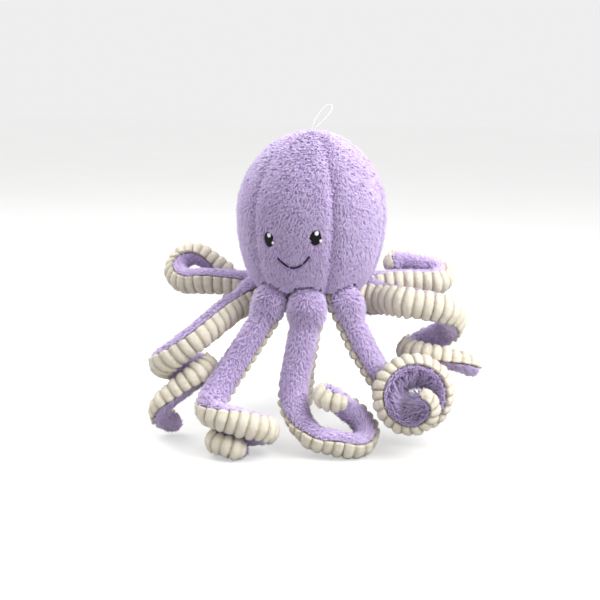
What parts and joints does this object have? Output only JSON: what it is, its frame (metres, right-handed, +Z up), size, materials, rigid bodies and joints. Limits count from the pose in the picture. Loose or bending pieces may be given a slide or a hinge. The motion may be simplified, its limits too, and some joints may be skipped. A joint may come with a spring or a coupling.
{
  "type": "plush octopus",
  "caption": "Plush octopus in lavender fur: a tall sewn head with a stitched face on curled stuffed tentacles with ribbed cream undersides.",
  "frame": {"origin": "on the floor, under the middle of the toy's outer box", "axes": "+Z up; the face looks along -Y; +X is to the right of someone who faces the toy"},
  "size_m": [0.4024, 0.3076, 0.3848],
  "materials": {
    "lavender_fur": "soft rabbit-style pile, matt",
    "ribbed_cream_plush": "short wide-ribbed plush, matt",
    "polyester_filling": "loose fibre",
    "black_thread": "satin stitch",
    "white_thread": "satin stitch",
    "white_cord": "thin twisted cord"
  },
  "bodies": {
    "head": {"head_face_gore": "lavender_fur", "head_right_front_gore": "lavender_fur", "head_right_back_gore": "lavender_fur", "head_back_gore": "lavender_fur", "head_left_back_gore": "lavender_fur", "head_left_front_gore": "lavender_fur", "head_filling": "polyester_filling", "base_panel": "lavender_fur", "right_eye": "black_thread", "right_eye_large_glint": "white_thread", "right_eye_small_glint": "white_thread", "left_eye": "black_thread", "left_eye_large_glint": "white_thread", "left_eye_small_glint": "white_thread", "smile": "black_thread", "hang_loop": "white_cord"},
    "front_left_tentacle": {"front_left_fur_strip": "lavender_fur", "front_left_ribbed_strip": "ribbed_cream_plush", "front_left_filling": "polyester_filling"},
    "front_tentacle": {"front_fur_strip": "lavender_fur", "front_ribbed_strip": "ribbed_cream_plush", "front_filling": "polyester_filling"},
    "front_right_tentacle": {"front_right_fur_strip": "lavender_fur", "front_right_ribbed_strip": "ribbed_cream_plush", "front_right_filling": "polyester_filling"},
    "right_tentacle": {"right_fur_strip": "lavender_fur", "right_ribbed_strip": "ribbed_cream_plush", "right_filling": "polyester_filling"},
    "back_right_tentacle": {"back_right_fur_strip": "lavender_fur", "back_right_ribbed_strip": "ribbed_cream_plush", "back_right_filling": "polyester_filling"},
    "back_tentacle": {"back_fur_strip": "lavender_fur", "back_ribbed_strip": "ribbed_cream_plush", "back_filling": "polyester_filling"},
    "back_left_tentacle": {"back_left_fur_strip": "lavender_fur", "back_left_ribbed_strip": "ribbed_cream_plush", "back_left_filling": "polyester_filling"},
    "left_tentacle": {"left_fur_strip": "lavender_fur", "left_ribbed_strip": "ribbed_cream_plush", "left_filling": "polyester_filling"}
  },
  "joints": [
    {"name": "front_left_root", "type": "hinge", "parent": "head", "child": "front_left_tentacle", "pos_m": [-0.03026, -0.03409, 0.164], "axis": [-0.848, 0.5299, 0], "range_deg": [-3, 45]},
    {"name": "front_root", "type": "hinge", "parent": "head", "child": "front_tentacle", "pos_m": [0.01205, -0.04117, 0.164], "axis": [-0.9744, -0.225, 0], "range_deg": [-15, 45]},
    {"name": "front_right_root", "type": "hinge", "parent": "head", "child": "front_right_tentacle", "pos_m": [0.04698, -0.01626, 0.164], "axis": [-0.5299, -0.848, 0], "range_deg": [-3, 45]},
    {"name": "right_root", "type": "hinge", "parent": "head", "child": "right_tentacle", "pos_m": [0.05406, 0.02605, 0.164], "axis": [0.225, -0.9744, 0], "range_deg": [-5, 20]},
    {"name": "back_right_root", "type": "hinge", "parent": "head", "child": "back_right_tentacle", "pos_m": [0.02915, 0.06098, 0.164], "axis": [0.848, -0.5299, 0], "range_deg": [-45, 12]},
    {"name": "back_root", "type": "hinge", "parent": "head", "child": "back_tentacle", "pos_m": [-0.01316, 0.06806, 0.164], "axis": [0.9744, 0.225, 0], "range_deg": [-15, 45]},
    {"name": "back_left_root", "type": "hinge", "parent": "head", "child": "back_left_tentacle", "pos_m": [-0.04809, 0.04315, 0.164], "axis": [0.5299, 0.848, 0], "range_deg": [-45, 17]},
    {"name": "left_root", "type": "hinge", "parent": "head", "child": "left_tentacle", "pos_m": [-0.05517, 0.00083, 0.164], "axis": [-0.225, 0.9744, 0], "range_deg": [0, 40]}
  ]
}
